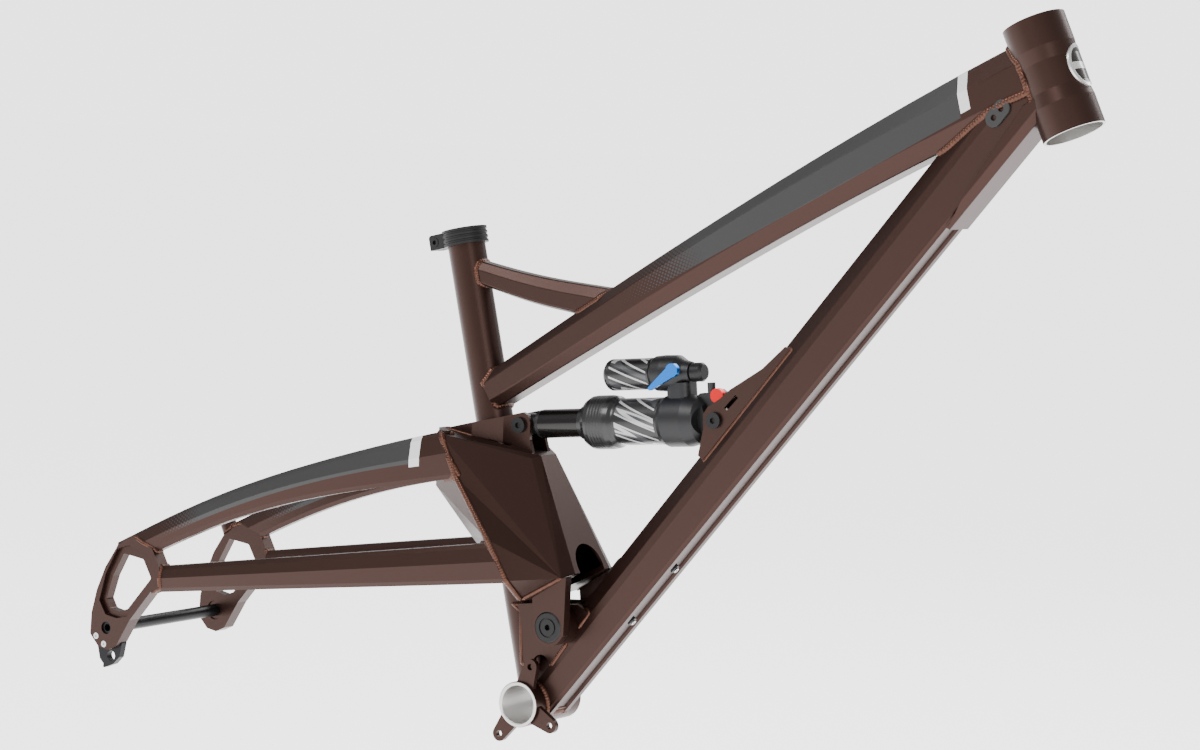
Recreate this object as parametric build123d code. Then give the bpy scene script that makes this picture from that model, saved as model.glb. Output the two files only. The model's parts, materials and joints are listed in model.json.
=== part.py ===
from build123d import *
from math import cos, radians, sin
import os

# Full-suspension bicycle frame with its swingarm, rear shock, seat collar and rear axle.
# Millimetres and degrees. Origin: centre of the bottom bracket. +X forwards, +Y to the bike's
# left, +Z up, so the drive side is at -Y. "Right" is the drive side.

# ---------------------------------------------------------------- driving dimensions
# Bottom bracket shell, threaded 1.37 inch
bb_width = 73.0
bb_diameter = 42.0
bb_bore = 34.8

# Seat tube
seat_angle = 76.0
seat_tube_length = 438.0
seat_tube_diameter = 34.9
seat_post_bore = 31.6
seat_reamed_from = 60.0

# Head tube
head_angle = 64.5
head_tube_length = 100.0
head_base_x = 511.0
head_base_z = 542.0
head_diameter = 54.0
head_waist_diameter = 51.0
head_collar_length = 26.0
headset_bore = 49.6
headset_seat_depth = 16.0
head_inner_bore = 46.5

# Down tube
down_angle = 51.05
down_width = 38.0
down_depth_rear = 43.0
down_depth_front = 51.0

# Top tube and the brace above it
top_width_rear = 36.0
top_width_front = 40.0
tube_wall = 1.8

# Rear axle and dropouts
axle_x = -453.7
axle_z = 20.0
hub_width = 148.0
rear_axle_diameter = 12.0
dropout_thickness = 14.0
hanger_thickness = 7.0

# Main pivot
pivot_x = 34.5
pivot_z = 76.0
pivot_axle_diameter = 15.0
bearing_outer = 28.0
bearing_width = 7.0
pivot_housing_diameter = 34.0
pivot_housing_width = 66.0
ear_thickness = 9.0
ear_radius = 17.0
ear_gap = 0.6

# Shock, 210 mm between eyes with a 50 mm stroke
rear_eye_x = -25.2
rear_eye_z = 252.4
front_eye_x = 183.6
front_eye_z = 275.6
shock_stroke = 50.0
shock_bolt_diameter = 8.0
eye_width = 20.0
eye_radius = 8.8
bushing_outer = 15.0
damper_diameter = 26.4
air_can_diameter = 42.5
air_can_bore = 37.5
air_ring_diameter = 49.0
reservoir_diameter = 28.6
reservoir_offset = 42.5
bracket_plate = 4.0

# Running clearances
bearing_clearance = 0.05
sliding_clearance = 0.15
body_gap = 0.4

os.makedirs("parts", exist_ok=True)

# ---------------------------------------------------------------- shapes used throughout
RIGHT, LEFT = -1, 1


def save(name, shape):
    """Write one node of the assembly."""
    solids = shape.solids() if hasattr(shape, "solids") else list(shape)
    out = solids[0] if len(solids) == 1 else Compound(children=list(solids))
    out.label = name
    export_step(out, f"parts/{name}.step")


def biggest(shape):
    """The largest solid that a cut leaves."""
    return max(shape.solids(), key=lambda solid: solid.volume)


def side_prism(points, y_from, y_to):
    """Solid with a side-view outline of (x, z) points, between two planes across the bike."""
    face = make_face(Polyline(*[(x, y_from, z) for x, z in points], close=True))
    return extrude(face, amount=abs(y_to - y_from), dir=(0, 1 if y_to > y_from else -1, 0))


def disc(x, z, radius, y_from, y_to):
    """Cylinder across the bike."""
    low, high = sorted((y_from, y_to))
    return extrude(Plane((x, high, z), x_dir=(1, 0, 0), z_dir=(0, -1, 0)) * Circle(radius), amount=high - low)


def rod(start, end, radius):
    """Cylinder between two points."""
    run = Vector(*end) - Vector(*start)
    return extrude(Plane(start, z_dir=run) * Circle(radius), amount=run.length)


def turned(start, direction, profile):
    """Solid of revolution from (distance along the axis, radius) pairs, closed on the axis side."""
    face = make_face(Polyline(*[(r, 0, d) for d, r in profile], close=True))
    return Plane(start, z_dir=direction).location * revolve(face, axis=Axis.Z, revolution_arc=360)


def tube_plane(x, y, z, angle):
    """Plane across a tube that climbs forwards at an angle: local x is +Y, local y is up."""
    a = radians(angle)
    return Plane((x, y, z), x_dir=(0, 1, 0), z_dir=(cos(a), 0, sin(a)))


def outline_face(half, corner):
    """Tube section from one half outline (bottom to top), mirrored and with its corners rounded."""
    points = [(x, y) for x, y in half] + [(-x, y) for x, y in reversed(half)]
    face = make_face(Polyline(*points, close=True))
    return fillet(face.vertices(), corner) if corner else face


def eight_sided(width, depth, top_drop, bottom_rise, flat):
    """Half outline of a tube with a flat top and bottom and two flanks that slope in."""
    half, reach = depth / 2, width / 2
    return [(flat, -half), (reach, -half + bottom_rise), (reach, half - top_drop), (flat, half)]


def creased(width, depth):
    """Half outline of a stay, whose side has a crease along its middle."""
    half, reach = depth / 2, width / 2
    return [(reach - 4, -half), (reach - 1.6, -half + 4), (reach, 0.04 * depth),
            (reach - 1.6, half - 4), (reach - 4, half)]


def inner_face(half, wall):
    """Sharp-cornered section one wall inside a half outline."""
    reach = max(x for x, y in half)
    top = max(y for x, y in half)
    scale_x, scale_y = (reach - wall) / reach, (top - wall) / top
    points = [(x * scale_x, y * scale_y) for x, y in half]
    points += [(-x, y) for x, y in reversed(points)]
    return make_face(Polyline(*points, close=True))


def hollow(planes, outlines, wall, corner, ruled):
    """Outer and inner lofts through the same planes."""
    outer = loft([p * outline_face(o, corner) for p, o in zip(planes, outlines)], ruled=ruled)
    inner = loft([p * inner_face(o, wall) for p, o in zip(planes, outlines)], ruled=ruled)
    return outer, inner


def polyhedron(loops):
    """Solid bounded by flat faces, each given as a loop of corner points."""
    faces = [Face(Wire.make_polygon([Vector(*p) for p in loop], close=True)) for loop in loops]
    solid = Solid(Shell(faces))
    return solid if solid.volume > 0 else Solid(Shell([-f for f in faces]))


def mirrored(shape):
    """The same piece on the other side of the bike."""
    return mirror(shape, about=Plane.XZ)


# ---------------------------------------------------------------- layout
seat_dir = Vector(-cos(radians(seat_angle)), 0, sin(radians(seat_angle)))
head_dir = Vector(-cos(radians(head_angle)), 0, sin(radians(head_angle)))
head_base = Vector(head_base_x, 0, head_base_z)
down_dir = Vector(cos(radians(down_angle)), 0, sin(radians(down_angle)))
down_under = Vector(sin(radians(down_angle)), 0, -cos(radians(down_angle)))
rear_eye = Vector(rear_eye_x, 0, rear_eye_z)
front_eye = Vector(front_eye_x, 0, front_eye_z)
shock_dir = (front_eye - rear_eye).normalized()
shock_up = Vector(-shock_dir.Z, 0, shock_dir.X)
eye_to_eye = (front_eye - rear_eye).length
hub_face = hub_width / 2
dropout_face = hub_face + dropout_thickness


def on_seat_tube(distance, forward=0.0):
    """Point at a distance up the seat tube's axis, moved forwards across it."""
    return seat_dir * distance + Vector(seat_dir.Z, 0, -seat_dir.X) * forward


def on_down_tube(distance, under=0.0, y=0.0):
    """Point at a distance up the down tube's axis, moved towards its underside."""
    return down_dir * distance + down_under * under + Vector(0, y, 0)


def on_shock(distance, up=0.0, y=0.0):
    """Point at a distance from the rear eye towards the front one."""
    return rear_eye + shock_dir * distance + shock_up * up + Vector(0, y, 0)


# ---------------------------------------------------------------- front frame: tubes
bb_outer = disc(0, 0, bb_diameter / 2, -bb_width / 2, bb_width / 2)
bb_shell = bb_outer - disc(0, 0, bb_bore / 2, -bb_width, bb_width)
bb_shell = chamfer(bb_shell.edges().filter_by(GeomType.CIRCLE).sort_by(Axis.Y)[:2], 0.8)
bb_shell = chamfer(bb_shell.edges().filter_by(GeomType.CIRCLE).sort_by(Axis.Y)[-2:], 0.8)
save("bb_shell", bb_shell)

seat_outer = rod((0, 0, 0), on_seat_tube(seat_tube_length), seat_tube_diameter / 2)
seat_bore = rod((0, 0, 0), on_seat_tube(seat_tube_length + 5), seat_post_bore / 2)
seat_bore += rod((0, 0, 0), on_seat_tube(seat_reamed_from), seat_post_bore / 2 + 0.3)
collar_slot_width = 3.0
collar_slot_depth = 28.0
collar_slot = Plane(on_seat_tube(seat_tube_length - collar_slot_depth / 2 + 1, -seat_tube_diameter / 2),
                    x_dir=(0, 1, 0), z_dir=seat_dir) * Box(collar_slot_width, 12, collar_slot_depth)
save("seat_tube", biggest(seat_outer - seat_bore - collar_slot - bb_outer))

# Head tube: plain collars at both ends with a waist between them
waist_start = head_collar_length
waist_end = head_tube_length - head_collar_length
waist_blend = 12.0
collar_r, waist_r = head_diameter / 2, head_waist_diameter / 2
head_profile = [(0, 0), (0, collar_r), (waist_start, collar_r), (waist_start + waist_blend, waist_r),
                (waist_end - waist_blend, waist_r), (waist_end, collar_r), (head_tube_length, collar_r),
                (head_tube_length, 0)]
head_outer = turned(head_base, head_dir, head_profile)
head_envelope = rod(head_base - head_dir * 5, head_base + head_dir * (head_tube_length + 5), waist_r)
head_bores = (rod(head_base - head_dir, head_base + head_dir * headset_seat_depth, headset_bore / 2)
              + rod(head_base + head_dir * (head_tube_length - headset_seat_depth),
                    head_base + head_dir * (head_tube_length + 1), headset_bore / 2)
              + rod(head_base, head_base + head_dir * head_tube_length, head_inner_bore / 2))
save("head_tube", head_outer - head_bores)

# Down tube: flat top, a raised shoulder, a flat side and an underside with two lips and a groove
down_start, down_end = 4.0, 765.0
down_offset_rear, down_offset_front = 1.0, 2.5


def down_half(depth):
    """Half outline of the down tube."""
    half, reach = depth / 2, down_width / 2
    lip = 16.0
    return [(4.0, -half + 2.4), (lip - 7.5, -half + 2.4), (lip - 6.5, -half), (lip, -half),
            (lip + 0.6, -half + 2.0), (reach - 1.2, -half + 3.5), (reach, half - 21.0),
            (reach - 0.6, half - 14.0), (9.8, half)]


def down_cavity(depth):
    """Half outline of the space inside the down tube."""
    half, reach = depth / 2 - tube_wall, down_width / 2 - tube_wall
    return [(13.0, -half + 2.4), (reach - 1.2, -half + 5.0), (reach, half - 19.5), (reach - 0.6, half - 13.5),
            (8.8, half)]


down_stations = ((down_start, down_offset_rear, down_depth_rear),
                 (down_end, down_offset_front, down_depth_front))
down_planes = [tube_plane(on_down_tube(d, under).X, 0, on_down_tube(d, under).Z, down_angle)
               for d, under, depth in down_stations]
down_outer = loft([p * outline_face(down_half(s[2]), 0) for p, s in zip(down_planes, down_stations)],
                  ruled=True)
down_inner = loft([p * inner_face(down_cavity(s[2]), 0) for p, s in zip(down_planes, down_stations)],
                  ruled=True)
housing = disc(pivot_x, pivot_z, pivot_housing_diameter / 2, -pivot_housing_width / 2,
               pivot_housing_width / 2)
down_tube = biggest(down_outer - down_inner - bb_outer - seat_outer - head_outer - head_envelope - housing)
save("down_tube", down_tube)

# Top tube: an eight-sided tube that grows and bows towards the head tube.
# Each station is x, z, slope, depth, top flank drop, bottom flank rise.
top_stations = (
    (-62.0, 280.0, 32.5, 33.0, 8.5, 8.0),
    (20.0, 331.5, 32.0, 36.0, 9.0, 9.5),
    (110.0, 387.5, 31.0, 40.0, 9.5, 12.0),
    (200.0, 441.5, 30.5, 43.5, 10.0, 13.0),
    (300.0, 499.0, 29.5, 47.5, 12.5, 13.5),
    (380.0, 542.5, 28.0, 51.0, 15.0, 14.0),
    (470.0, 588.5, 26.5, 54.0, 16.0, 14.0),
)


def top_width(x):
    """Width of the top tube, growing towards the head tube."""
    share = (x - top_stations[0][0]) / (top_stations[-1][0] - top_stations[0][0])
    return top_width_rear + (top_width_front - top_width_rear) * share


top_planes = [tube_plane(x, 0, z, slope) for x, z, slope, *_ in top_stations]
top_outlines = [eight_sided(top_width(x), depth, drop, rise, 11.5) for x, z, s, depth, drop,
                rise in top_stations]
top_outer, top_inner = hollow(top_planes, top_outlines, tube_wall, 2.0, False)
top_tube = biggest(top_outer - top_inner - seat_outer - down_outer - head_outer - head_envelope)
save("top_tube", top_tube)

# Brace from the seat tube's top to the top tube: x, z, slope, width, depth
brace_stations = (
    (-100.0, 391.5, -15.0, 21.0, 21.0),
    (-60.0, 384.0, -11.0, 22.0, 22.0),
    (-20.0, 377.0, -9.5, 23.0, 25.0),
    (20.0, 372.5, -7.0, 24.0, 27.0),
    (75.0, 367.0, -5.0, 25.0, 30.0),
)
brace_planes = [tube_plane(x, 0, z, slope) for x, z, slope, w, d in brace_stations]
brace_outlines = [eight_sided(w, d, 0.36 * d, 0.1 * d, 0.3 * w) for x, z, s, w, d in brace_stations]
brace_outer, brace_inner = hollow(brace_planes, brace_outlines, tube_wall, 2.0, False)
save("seat_tube_brace", biggest(brace_outer - brace_inner - seat_outer - top_outer))

# ---------------------------------------------------------------- front frame: gussets and brackets
# Folded gusset under the down tube at the head tube
gusset_wall = 3.5
gusset_low, gusset_high = 612.0, 765.0


def gusset_station(distance):
    """Offset and depth of the down tube at a distance along it."""
    share = (distance - down_start) / (down_end - down_start)
    under = down_offset_rear + (down_offset_front - down_offset_rear) * share
    return distance, under, down_depth_rear + (down_depth_front - down_depth_rear) * share


def gusset_face(distance, wall):
    """Plain section of the gusset: the down tube's lower corner with no lips."""
    d, under, depth = gusset_station(distance)
    p = on_down_tube(d, under)
    reach, half = down_width / 2 + wall, depth / 2 + wall
    outline = [(reach - 6, -half), (reach, -half + 6), (reach, half), (2, half)]
    return tube_plane(p.X, 0, p.Z, down_angle) * outline_face(outline, 1.5)


gusset_outer = loft([gusset_face(gusset_low, gusset_wall), gusset_face(gusset_high, gusset_wall)], ruled=True)
gusset_trim = side_prism([(400, 452), (409, 461), (434, 505), (474, 563), (540, 600), (560, 480), (430, 400)],
                         -60, 60)
head_gusset = (gusset_outer & gusset_trim) - down_outer - head_outer - head_envelope
save("head_gusset", biggest(head_gusset))

# Plates that carry the pivot housing between the seat tube and the down tube
gusset_y_in, gusset_y_out = 14.0, 18.6
plate_outline = [(-22, 88), (-14, 82), (-10, 35), (2, 30), (14, 31), (24, 38), (46, 66), (62, 90), (50, 96),
                 (10, 93)]
drain_x, drain_z, drain_radius = 12.0, 36.5, 9.0
bearing_seat = disc(pivot_x, pivot_z, bearing_outer / 2, -50, 50)
housing_mid = disc(pivot_x, pivot_z, bearing_outer / 2, -pivot_housing_width / 2 + bearing_width + 1,
                   pivot_housing_width / 2 - bearing_width - 1)
for side, name in ((RIGHT, "right"), (LEFT, "left")):
    plate = side_prism(plate_outline, side * gusset_y_in, side * gusset_y_out)
    plate -= disc(drain_x, drain_z, drain_radius, side * 10, side * 25)
    save(f"pivot_gusset_{name}", biggest(plate - housing - down_outer - seat_outer))
pivot_housing = housing - (bearing_seat - housing_mid) - disc(pivot_x, pivot_z, pivot_axle_diameter / 2 + 3,
                                                              -50, 50)
save("pivot_housing", biggest(pivot_housing - seat_outer))

bearings = []
for side in (RIGHT, LEFT):
    outer_y, inner_y = side * pivot_housing_width / 2, side * (pivot_housing_width / 2 - bearing_width)
    ring = disc(pivot_x, pivot_z, bearing_outer / 2, inner_y, outer_y)
    ring -= disc(pivot_x, pivot_z, pivot_axle_diameter / 2 + bearing_clearance, -50, 50)
    bearings.append(ring)
save("pivot_bearings", Compound(children=[b.solids()[0] for b in bearings]))

# Bracket for the front of the shock: two plates standing on the down tube
bracket_inner_y = eye_width / 2 + 0.2
bracket_outer_y = bracket_inner_y + bracket_plate
front_outline = [(252, 346), (230, 325), (198, 304), (188, 295), (176, 287), (171.5, 280), (172.5, 268),
                 (168, 243),
                 (176, 238), (262, 344)]
front_slot = [(193, 287.5), (196, 285.5), (207, 297.5), (204, 300)]
shock_bolt_hole = disc(front_eye_x, front_eye_z, shock_bolt_diameter / 2, -30, 30)
plates = []
for side in (RIGHT, LEFT):
    plate = side_prism(front_outline, side * bracket_inner_y, side * bracket_outer_y)
    plate -= side_prism(front_slot, side * (bracket_inner_y - 1), side * (bracket_outer_y + 1))
    plates.append(biggest(plate - shock_bolt_hole - down_outer))
save("shock_bracket_front", Compound(children=plates))

# Tabs for a chain guide on the drive side of the bottom bracket
tab_radius, tab_hole, tab_boss = 37.0, 3.0, 7.0
tab_y, tab_thickness = -bb_width / 2 + 3.5, 5.0
tabs = []
for angle in (74.0, -24.5, -125.5):
    a = radians(angle)
    hx, hz = tab_radius * cos(a), tab_radius * sin(a)
    root = bb_diameter / 2 - 6
    web = [(root * cos(a + s), root * sin(a + s)) for s in (0.75, -0.75)]
    tip = [(hx + tab_boss * cos(a + s), hz + tab_boss * sin(a + s)) for s in (-1.5, 1.5)]
    tab = side_prism(web + tip, tab_y, tab_y + tab_thickness) + disc(hx, hz, tab_boss, tab_y,
                                                                     tab_y + tab_thickness)
    tab -= disc(hx, hz, tab_hole, tab_y - 1, tab_y + tab_thickness + 1)
    tabs.append(biggest(tab - bb_outer - seat_outer - down_outer))
save("chain_guide_tabs", Compound(children=tabs))

# ---------------------------------------------------------------- front frame: small parts
# Rubber port for two hoses in the side of the down tube
port_x, port_z, port_length, port_width = 449.5, 556.0, 27.0, 15.0
port_plane = Plane((port_x, -down_width / 2 - 2.2, port_z), x_dir=down_dir, z_dir=(0, -1, 0))
port = extrude(port_plane * SlotOverall(port_length, port_width), amount=-6)
port = fillet(port.edges().filter_by(Plane.XZ).group_by(Axis.Y)[0], 1.2)
port_holes = [extrude(port_plane * (Pos(shift, 0) * Circle(2.6)), amount=-20, both=True) for shift in (-5, 5)]
save("cable_port", biggest(port - port_holes[0] - port_holes[1] - down_outer - top_outer))

# Rubber grommet where the hoses leave the top of the down tube
exit_distance = 152.0
exit_under = down_offset_rear - down_depth_rear / 2
exit_plane = Plane(on_down_tube(exit_distance, exit_under), x_dir=down_dir, z_dir=-down_under)
exit_grommet = extrude(exit_plane * SlotOverall(24, 11), amount=4.2, both=True)
exit_grommet = fillet(exit_grommet.edges().group_by(Axis(exit_plane.origin, exit_plane.z_dir))[-1], 2.5)
save("cable_exit_grommet", biggest(exit_grommet - down_outer))

# Two clips with a screw each on the underside of the down tube
clip_height, clip_length, clip_width = 2.2, 9.0, 7.0
screw_radius, screw_hole = 2.6, 1.6
clips, screws = [], []
for distance in (127.0, 195.0):
    p = on_down_tube(distance, gusset_station(distance)[1] + gusset_station(distance)[2] / 2 - 2.4)
    plane = Plane(p, x_dir=down_dir, z_dir=down_under)
    clip = extrude(plane * SlotOverall(clip_length, clip_width), amount=clip_height)
    clip -= extrude(plane * Circle(screw_hole), amount=clip_height)
    clips.append(biggest(clip - down_outer))
    screw = extrude(plane * Circle(screw_hole), amount=clip_height)
    screw += extrude(plane.offset(clip_height) * Circle(screw_radius), amount=1.4)
    socket = extrude(plane.offset(clip_height + 0.6) * RegularPolygon(1.25, 6), amount=2)
    screws.append(biggest(screw - socket - down_outer))
save("cable_clips", Compound(children=clips))
save("cable_clip_screws", Compound(children=screws))

# Plain oval badge on the front of the head tube
badge_height, badge_width, badge_thickness = 38.0, 27.0, 1.6
badge_centre = head_base + head_dir * head_tube_length / 2
badge_plane = Plane(badge_centre, x_dir=(0, 1, 0),
                    z_dir=(sin(radians(head_angle)), 0, cos(radians(head_angle))))
badge_core = extrude(badge_plane * Ellipse(badge_width / 2, badge_height / 2), amount=60)
badge_skin = turned(head_base, head_dir, [(d, r + badge_thickness if r else 0) for d, r in head_profile])
save("head_badge", biggest((badge_core & badge_skin) - head_outer))

# Seat collar, clamped round the top of the seat tube by one bolt behind it
collar_height, collar_wall = 15.0, 3.6
collar_low = seat_tube_length - collar_height + 2.0
collar_r_in = seat_tube_diameter / 2
ridge = 0.8
collar_profile = [(0, collar_r_in), (0, collar_r_in + collar_wall)]
for row in range(3):
    base = 2.2 + row * 4.2
    r_out = collar_r_in + collar_wall
    collar_profile += [(base, r_out), (base + 0.5, r_out - ridge), (base + 1.7, r_out - ridge),
                       (base + 2.2, r_out)]
collar_profile += [(collar_height, collar_r_in + collar_wall), (collar_height, collar_r_in)]
collar = turned(on_seat_tube(collar_low), seat_dir, collar_profile)
ear_plane = Plane(on_seat_tube(collar_low + collar_height / 2, -collar_r_in - 8.5), x_dir=(0, 1, 0),
                  z_dir=seat_dir)
collar_lug = ear_plane * Box(20, 17, collar_height - 1)
collar_lug = fillet(collar_lug.edges().group_by(Axis.X)[0], 3)
collar_bolt_r = 2.5
collar_bolt_axis = on_seat_tube(collar_low + collar_height / 2, -collar_r_in - 11.0)
collar = collar + collar_lug - rod(on_seat_tube(collar_low - 5), on_seat_tube(seat_tube_length + 20),
                                   collar_r_in)
collar -= ear_plane * Box(2.4, 30, collar_height + 2)
collar -= disc(collar_bolt_axis.X, collar_bolt_axis.Z, collar_bolt_r, -30, 30)
collar -= disc(collar_bolt_axis.X, collar_bolt_axis.Z, 4.4, -30, -6)
save("seat_collar", biggest(collar))
bolt = disc(collar_bolt_axis.X, collar_bolt_axis.Z, collar_bolt_r, -6, 9.5)
bolt += disc(collar_bolt_axis.X, collar_bolt_axis.Z, 4.3, -10.5, -6)
bolt -= extrude(Plane((collar_bolt_axis.X, -8, collar_bolt_axis.Z), z_dir=(0, -1, 0)) * RegularPolygon(2.3,
                                                                                                       6),
                amount=5)
save("seat_collar_bolt", biggest(bolt))

# ---------------------------------------------------------------- swingarm: folded yoke
yoke_wall = 2.6
yoke_hollow = 0.94
yoke_middle = (-22.0, 165.0)
# Corners on the right half: x, distance from the middle, z
yoke_corners = {
    "crown": (-1.5, 12.0, 226.5),
    "brow": (-6.0, 20.0, 224.0),
    "top_outer": (-74.5, 68.0, 243.0),
    "top_inner": (-95.0, 43.0, 246.0),
    "stay_low": (-56.0, 69.0, 206.5),
    "stay_inner": (-97.0, 42.0, 192.0),
    "chain_high": (-13.0, 76.0, 154.0),
    "chain_inner": (-54.0, 42.0, 149.0),
    "chain_low": (7.0, 72.0, 118.0),
    "heel_inner": (-10.0, 40.0, 110.0),
    "heel": (6.0, 46.0, 98.0),
    "sole": (1.0, 23.0, 95.0),
    "toe": (46.5, 42.0, 122.0),
    "shin": (52.0, 28.0, 125.5),
}
yoke_half_faces = (
    ("crown", "brow", "top_outer"), ("crown", "top_outer", "top_inner"),
    ("brow", "toe", "top_outer"), ("top_outer", "toe", "stay_low"), ("stay_low", "toe", "chain_high"),
    ("chain_high", "toe", "chain_low"), ("chain_low", "toe", "heel"),
    ("crown", "toe", "brow"), ("crown", "shin", "toe"),
    ("top_inner", "top_outer", "stay_low"), ("top_inner", "stay_low", "stay_inner"),
    ("stay_inner", "stay_low", "chain_high"), ("stay_inner", "chain_high", "chain_inner"),
    ("chain_inner", "chain_high", "chain_low"), ("chain_inner", "chain_low", "heel_inner"),
    ("heel_inner", "chain_low", "heel"), ("heel_inner", "heel", "sole"),
    ("heel", "toe", "shin"), ("heel", "shin", "sole"),
)
yoke_middle_faces = (("crown", "shin"), ("crown", "top_inner"), ("top_inner", "stay_inner"),
                     ("stay_inner", "chain_inner"), ("chain_inner", "heel_inner"), ("heel_inner", "sole"),
                     ("sole", "shin"))


def yoke_solid(share):
    """The yoke's shape, drawn in towards its middle to a share of its size."""
    middle_x, middle_z = yoke_middle

    def corner(name, side):
        x, reach, z = yoke_corners[name]
        return (middle_x + (x - middle_x) * share, side * reach * share, middle_z + (z - middle_z) * share)

    loops = [[corner(n, side) for n in loop] for loop in yoke_half_faces for side in (RIGHT, LEFT)]
    for a, b in yoke_middle_faces:
        loops.append([corner(a, RIGHT), corner(b, RIGHT), corner(b, LEFT), corner(a, LEFT)])
    return polyhedron(loops)


def slot_solid(grow):
    """Space for the seat tube and the tyre, open to the rear."""
    half_front, half_rear = seat_tube_diameter / 2 + 5.0 + grow, 40.0 + grow
    front = seat_tube_diameter / 2 + 7.0 + grow
    section = [(front, -half_front + 6), (front - 6, -half_front), (-16, -half_front), (-48, -half_rear),
               (-140, -half_rear), (-140, half_rear), (-48, half_rear), (-16, half_front),
               (front - 6, half_front), (front, half_front - 6)]
    base = on_seat_tube(70)
    plane = Plane(base, x_dir=(seat_dir.Z, 0, -seat_dir.X), z_dir=seat_dir)
    return extrude(plane * make_face(Polyline(*section, close=True)), amount=230)


yoke = yoke_solid(1) - slot_solid(0) - (yoke_solid(yoke_hollow) - slot_solid(yoke_wall))
mouth_radius = 20.0
yoke -= rod((20, 0, 126), (90, 0, 136), mouth_radius)
save("yoke", biggest(yoke))

# ---------------------------------------------------------------- swingarm: stays
# Each station is x, distance from the middle, z, slope, width, depth.
chainstay_stations = (
    (-404.0, 79.0, 72.5, 9.0, 17.0, 24.5),
    (-280.0, 77.5, 91.5, 9.0, 18.5, 28.0),
    (-140.0, 72.5, 112.5, 9.0, 20.0, 32.5),
    (40.0, 63.0, 140.0, 9.0, 22.0, 38.0),
)
upper_stay_stations = (
    (-440.0, 79.0, 93.0, 28.0, 16.0, 25.0),
    (-380.0, 78.5, 122.5, 26.0, 17.0, 25.5),
    (-300.0, 76.5, 157.5, 21.5, 18.0, 27.0),
    (-220.0, 73.0, 185.0, 17.0, 19.0, 31.0),
    (-140.0, 67.0, 207.0, 14.0, 20.0, 38.0),
    (-40.0, 58.0, 231.0, 12.0, 22.0, 44.0),
)


def stay(stations, side):
    """Outer and inner lofts of one stay."""
    planes = [tube_plane(x, side * y, z, slope) for x, y, z, slope, w, d in stations]
    outlines = [creased(w, d) for x, y, z, slope, w, d in stations]
    return hollow(planes, outlines, tube_wall, 0, False)


# Side-view outlines of what is cut off the front of the stays where they meet the yoke
chainstay_trim = side_prism(((-23, 160), (-13.2, 153), (-2.4, 134), (5.3, 120), (7.2, 116), (8, 100), (90, 100),
                             (90, 200), (-23, 200)),
                            -120, 120)
upper_stay_trim = side_prism(((-77, 252), (-72, 240), (-52, 205), (-44, 190), (20, 190), (20, 280),
                              (-77, 280)),
                             -120, 120)


# ---------------------------------------------------------------- swingarm: dropouts
dropout_outline = ((-463, 0.5), (-451, -1.5), (-440.5, 3.5), (-424, 31), (-398, 62), (-388, 66), (-388, 86),
                   (-398, 104), (-421, 112), (-432, 109), (-443, 100), (-457, 79), (-467, 56), (-473, 33),
                   (-474, 12))
window_outline = ((-437, 94.5), (-412, 91.5), (-401.5, 74), (-430, 41), (-441, 37), (-452, 39), (-457.5, 48),
                  (-450, 71))
rebate_outline = ((-442, 99), (-427, 104), (-404, 98), (-395.5, 75), (-399, 68), (-428, 34), (-441, 31),
                  (-455, 33),
                  (-463.5, 46), (-456, 73))
rebate_depth = 4.0
hub_recess_radius, hub_recess_depth = 9.6, 1.6


def rounded_prism(points, radii, y_from, y_to):
    """Side-view plate with its corners rounded."""
    sketch = make_face(Polyline(*[(x, z, 0) for x, z in points], close=True))
    sketch = fillet(sketch.vertices(), radii)
    low, high = sorted((y_from, y_to))
    return extrude(Plane((0, high, 0), x_dir=(1, 0, 0), z_dir=(0, -1, 0)) * sketch, amount=high - low)


window = rounded_prism(window_outline, 2.5, -100, 100)
axle_bore = disc(axle_x, axle_z, rear_axle_diameter / 2 + bearing_clearance, -120, 120)
dropouts = {}
for side in (RIGHT, LEFT):
    plate = rounded_prism(dropout_outline, 3.0, side * hub_face, side * dropout_face) - window
    plate -= rounded_prism(rebate_outline, 3.0, side * (dropout_face - rebate_depth),
                           side * (dropout_face + 1))
    plate -= disc(axle_x, axle_z, hub_recess_radius, side * (hub_face - 1),
                  side * (hub_face + hub_recess_depth))
    dropouts[side] = plate - axle_bore

# Derailleur hanger, let into the inner face of the right dropout and held by two bolts
hanger_outline = ((-472, 12), (-466, -12), (-461, -17), (-462.5, -21.5), (-449, -16), (-441, -8), (-438, 6),
                  (-441, 16), (-448, 10.5), (-457, 10.5))
hanger_y_in, hanger_y_out = -hub_face - 1.0, -hub_face - 1.0 - hanger_thickness
hanger_bolt_places = ((-466.2, 10.6), (-456.0, 3.8))
hanger_bolt_radius, hanger_head_radius, hanger_head_depth = 1.6, 3.1, 1.6
hanger_thread = 5.0
hanger_shape = rounded_prism(hanger_outline, 1.4, hanger_y_in, hanger_y_out)
hanger_pocket = rounded_prism(hanger_outline, 1.4, -hub_face + 1, hanger_y_out)
dropouts[RIGHT] -= hanger_pocket
hanger = hanger_shape - disc(-451.6, -7.8, hanger_thread, -100, 0)
hanger -= disc(axle_x, axle_z, rear_axle_diameter / 2 + 3.2, -120, 0)
bolts = []
for x, z in hanger_bolt_places:
    hanger -= disc(x, z, hanger_bolt_radius, -100, 0)
    dropouts[RIGHT] -= disc(x, z, hanger_bolt_radius, -100, 0)
    dropouts[RIGHT] -= disc(x, z, hanger_head_radius, -100, -dropout_face + hanger_head_depth)
    bolt = disc(x, z, hanger_bolt_radius, -dropout_face + hanger_head_depth, hanger_y_in)
    bolt += disc(x, z, hanger_head_radius, -dropout_face - 0.3, -dropout_face + hanger_head_depth)
    socket = Plane((x, -dropout_face + 1.0, z), z_dir=(0, -1, 0)) * RegularPolygon(1.25, 6)
    bolts.append(biggest(bolt - extrude(socket, amount=5)))
save("derailleur_hanger", biggest(hanger))
save("hanger_bolts", Compound(children=bolts))

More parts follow.
